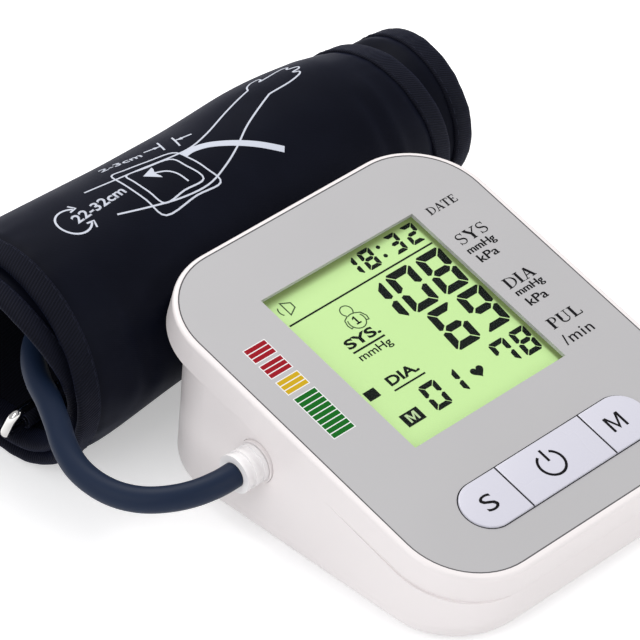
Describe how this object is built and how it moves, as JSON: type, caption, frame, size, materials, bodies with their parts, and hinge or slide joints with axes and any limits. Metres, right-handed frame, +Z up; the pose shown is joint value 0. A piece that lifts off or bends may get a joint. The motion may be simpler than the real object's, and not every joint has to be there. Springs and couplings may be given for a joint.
{
  "type": "upper arm blood pressure monitor",
  "caption": "Wedge-shaped desk blood pressure monitor with a green display and keys, joined by an air hose to its rolled navy arm cuff.",
  "frame": {"origin": "centre, on the table, of the footprint of the unit and its rolled cuff", "axes": "+X to the reader's right along the unit's front edge, +Y to the back, towards the cuff, +Z up"},
  "size_m": [0.1816, 0.1808, 0.0646],
  "materials": {
    "white_case": "satin",
    "silver_face": "silver lacquer",
    "clear_window": "clear",
    "display": "lit pale green",
    "white_inner": "moulded",
    "black_inner": "moulded",
    "board": "solder mask",
    "keys": "pale, semi-gloss",
    "steel": "plated",
    "bright_wire": "plated wire",
    "brass": "turned",
    "cell_sleeve": "printed sleeve",
    "soft_tube": "silicone",
    "foot_rubber": "matte",
    "hose_rubber": "soft matte",
    "cuff_cloth": "coated woven nylon",
    "lining_cloth": "brushed loop cloth",
    "binding_cloth": "twill tape"
  },
  "bodies": {
    "monitor": {"top_case": "white_case", "base_case": "white_case", "face_panel": "silver_face", "lcd_window": "clear_window", "lcd_glass": "display", "lcd_frame": "black_inner", "backlight": "white_inner", "main_board": "board", "board_chips": "black_inner", "key_switches": "black_inner", "buzzer": "black_inner", "air_socket": "white_case", "pump_motor": "steel", "pump_head": "black_inner", "release_valve": "steel", "pressure_sensor": "white_inner", "tube_junction": "white_inner", "air_tubes": "soft_tube", "battery_cells": "cell_sleeve", "battery_contacts": "steel", "battery_springs": "steel", "usb_socket": "steel", "case_screws": "steel", "rubber_feet": "foot_rubber"},
    "set_key": {"set_key": "keys"},
    "power_key": {"power_key": "keys"},
    "memory_key": {"memory_key": "keys"},
    "battery_door": {"battery_door": "white_case"},
    "pump_shaft": {"pump_shaft": "brass"},
    "valve_plunger": {"valve_plunger": "black_inner"},
    "cuff_set": {"hose_plug": "white_case", "air_hose": "hose_rubber", "cuff_cover": "cuff_cloth", "cuff_lining": "lining_cloth", "air_bladder": "hose_rubber", "left_binding": "binding_cloth", "right_binding": "binding_cloth", "hook_patch": "lining_cloth", "bladder_nipple": "hose_rubber", "ring_sleeve": "cuff_cloth"},
    "cuff_ring": {"cuff_ring": "bright_wire"}
  },
  "joints": [
    {"name": "set_press", "type": "slide", "parent": "monitor", "child": "set_key", "axis": [0, 0.2639, -0.9646], "range_m": [0, 0.0005], "stiffness_N_per_m": 2500},
    {"name": "power_press", "type": "slide", "parent": "monitor", "child": "power_key", "axis": [0, 0.2639, -0.9646], "range_m": [0, 0.0005], "stiffness_N_per_m": 2500},
    {"name": "memory_press", "type": "slide", "parent": "monitor", "child": "memory_key", "axis": [0, 0.2639, -0.9646], "range_m": [0, 0.0005], "stiffness_N_per_m": 2500},
    {"name": "door_swing", "type": "hinge", "parent": "monitor", "child": "battery_door", "pos_m": [-0.00175, -0.05577, 0.0026], "axis": [-1, 0, 0], "range_deg": [0, 60]},
    {"name": "pump_spin", "type": "hinge", "parent": "monitor", "child": "pump_shaft", "pos_m": [0.00225, 0.00203, 0.0156], "axis": [1, 0, 0], "continuous": true},
    {"name": "valve_stroke", "type": "slide", "parent": "monitor", "child": "valve_plunger", "axis": [0, 1, 0], "range_m": [0, 0.0006], "stiffness_N_per_m": 500},
    {"name": "plug_pull", "type": "slide", "parent": "monitor", "child": "cuff_set", "axis": [-1, 0, 0], "range_m": [0, 0.02]},
    {"name": "ring_swing", "type": "hinge", "parent": "cuff_set", "child": "cuff_ring", "pos_m": [-0.07875, 0.04967, 0.01087], "axis": [-0.9956, -0.0937, 0.0006], "range_deg": [0, 70]}
  ]
}
